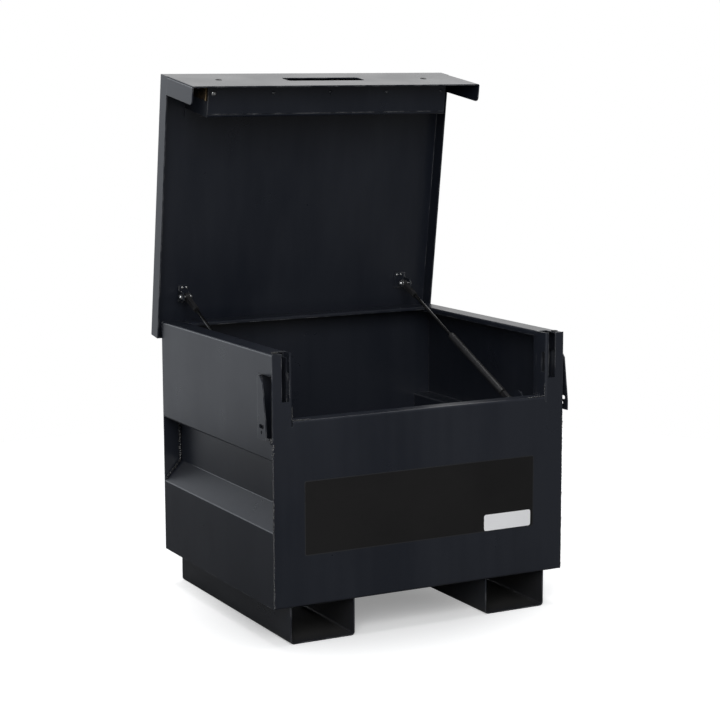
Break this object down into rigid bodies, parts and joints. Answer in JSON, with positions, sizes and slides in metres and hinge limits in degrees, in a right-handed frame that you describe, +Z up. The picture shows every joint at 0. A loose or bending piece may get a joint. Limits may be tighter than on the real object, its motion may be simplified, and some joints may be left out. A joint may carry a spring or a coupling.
{
  "type": "jobsite box",
  "caption": "Folded steel jobsite tool box on fork skids, with a hinged lid held open by gas struts, dead locks in the lid's front flange and a stepped hand recess in each side.",
  "frame": {"origin": "centre of the footprint of the open box, on the surface that the skids stand on", "axes": "+X to the right seen from the front, +Y to the back where the hinge is, +Z up"},
  "size_m": [0.773, 0.671, 1.2337],
  "materials": {
    "powder_coat": "satin powder coat",
    "zinc": "zinc plated",
    "rod_steel": "nitrided, fine ground",
    "strut_black": "satin",
    "black_plastic": "moulded",
    "rubber": "matt",
    "brass": "satin",
    "black_vinyl": "gloss film",
    "white_vinyl": "gloss film"
  },
  "bodies": {
    "body": {"front_panel": "powder_coat", "back_panel": "powder_coat", "floor_panel": "powder_coat", "hinge_leaf_body": "powder_coat", "hinge_pin": "zinc", "side_panel_left": "powder_coat", "skid_left": "powder_coat", "strike_box_left": "powder_coat", "corner_guard_left": "powder_coat", "bump_stop_left": "rubber", "strut_bracket_body_left": "powder_coat", "side_panel_right": "powder_coat", "skid_right": "powder_coat", "strike_box_right": "powder_coat", "corner_guard_right": "powder_coat", "bump_stop_right": "rubber", "strut_bracket_body_right": "powder_coat"},
    "lid": {"lid_panel": "powder_coat", "lock_housing": "powder_coat", "lock_cover": "powder_coat", "hinge_leaf_lid": "powder_coat", "lid_cheek_left": "powder_coat", "lock_case_left": "zinc", "lock_forend_left": "brass", "strut_bracket_lid_left": "powder_coat", "strut_stud_lid_left": "zinc", "strut_nut_left": "zinc", "lid_cheek_right": "powder_coat", "lock_case_right": "zinc", "lock_forend_right": "brass", "strut_bracket_lid_right": "powder_coat", "strut_stud_lid_right": "zinc", "strut_nut_right": "zinc"},
    "strut_rod_left": {"rod_end_left": "black_plastic", "strut_rod_left": "rod_steel"},
    "strut_tube_left": {"strut_cylinder_left": "strut_black", "cylinder_end_left": "black_plastic", "strut_stud_body_left": "zinc"},
    "bolt_left": {"lock_bolt_left": "zinc"},
    "key_left": {"key_plug_left": "strut_black"},
    "strut_rod_right": {"rod_end_right": "black_plastic", "strut_rod_right": "rod_steel"},
    "strut_tube_right": {"strut_cylinder_right": "strut_black", "cylinder_end_right": "black_plastic", "strut_stud_body_right": "zinc"},
    "bolt_right": {"lock_bolt_right": "zinc"},
    "key_right": {"key_plug_right": "strut_black"}
  },
  "joints": [
    {"name": "lid_hinge", "type": "hinge", "parent": "body", "child": "lid", "pos_m": [0, 0.28904, 0.6034], "axis": [1, 0, 0], "range_deg": [0, 81.6]},
    {"name": "strut_pivot_left", "type": "hinge", "parent": "lid", "child": "strut_rod_left", "pos_m": [-0.3005, 0.29201, 0.70037], "axis": [1, 0, 0], "range_deg": [-86.02, 0]},
    {"name": "strut_slide_left", "type": "slide", "parent": "strut_rod_left", "child": "strut_tube_left", "axis": [0, 0.914, 0.4058], "range_m": [0, 0.12136]},
    {"name": "bolt_slide_left", "type": "slide", "parent": "lid", "child": "bolt_left", "axis": [-1, 0, 0], "range_m": [0, 0.018]},
    {"name": "key_turn_left", "type": "hinge", "parent": "lid", "child": "key_left", "pos_m": [-0.273, 0.14594, 1.21991], "axis": [0, -0.1461, 0.9893], "range_deg": [0, 90.1]},
    {"name": "strut_pivot_right", "type": "hinge", "parent": "lid", "child": "strut_rod_right", "pos_m": [0.3005, 0.29201, 0.70037], "axis": [1, 0, 0], "range_deg": [-86.02, 0]},
    {"name": "strut_slide_right", "type": "slide", "parent": "strut_rod_right", "child": "strut_tube_right", "axis": [0, 0.914, 0.4058], "range_m": [0, 0.12136]},
    {"name": "bolt_slide_right", "type": "slide", "parent": "lid", "child": "bolt_right", "axis": [1, 0, 0], "range_m": [0, 0.018]},
    {"name": "key_turn_right", "type": "hinge", "parent": "lid", "child": "key_right", "pos_m": [0.273, 0.14594, 1.21991], "axis": [0, -0.1461, 0.9893], "range_deg": [-90.1, 0]}
  ],
  "couplings": [
    {"joint": "strut_pivot_left", "follows": "lid_hinge", "ratio": -1.0529},
    {"joint": "strut_slide_left", "follows": "lid_hinge", "m_per_rad": 0.085073},
    {"joint": "key_turn_left", "follows": "bolt_slide_left", "rad_per_m": 87.266},
    {"joint": "strut_pivot_right", "follows": "lid_hinge", "ratio": -1.0529},
    {"joint": "strut_slide_right", "follows": "lid_hinge", "m_per_rad": 0.085073},
    {"joint": "key_turn_right", "follows": "bolt_slide_right", "rad_per_m": -87.266}
  ]
}
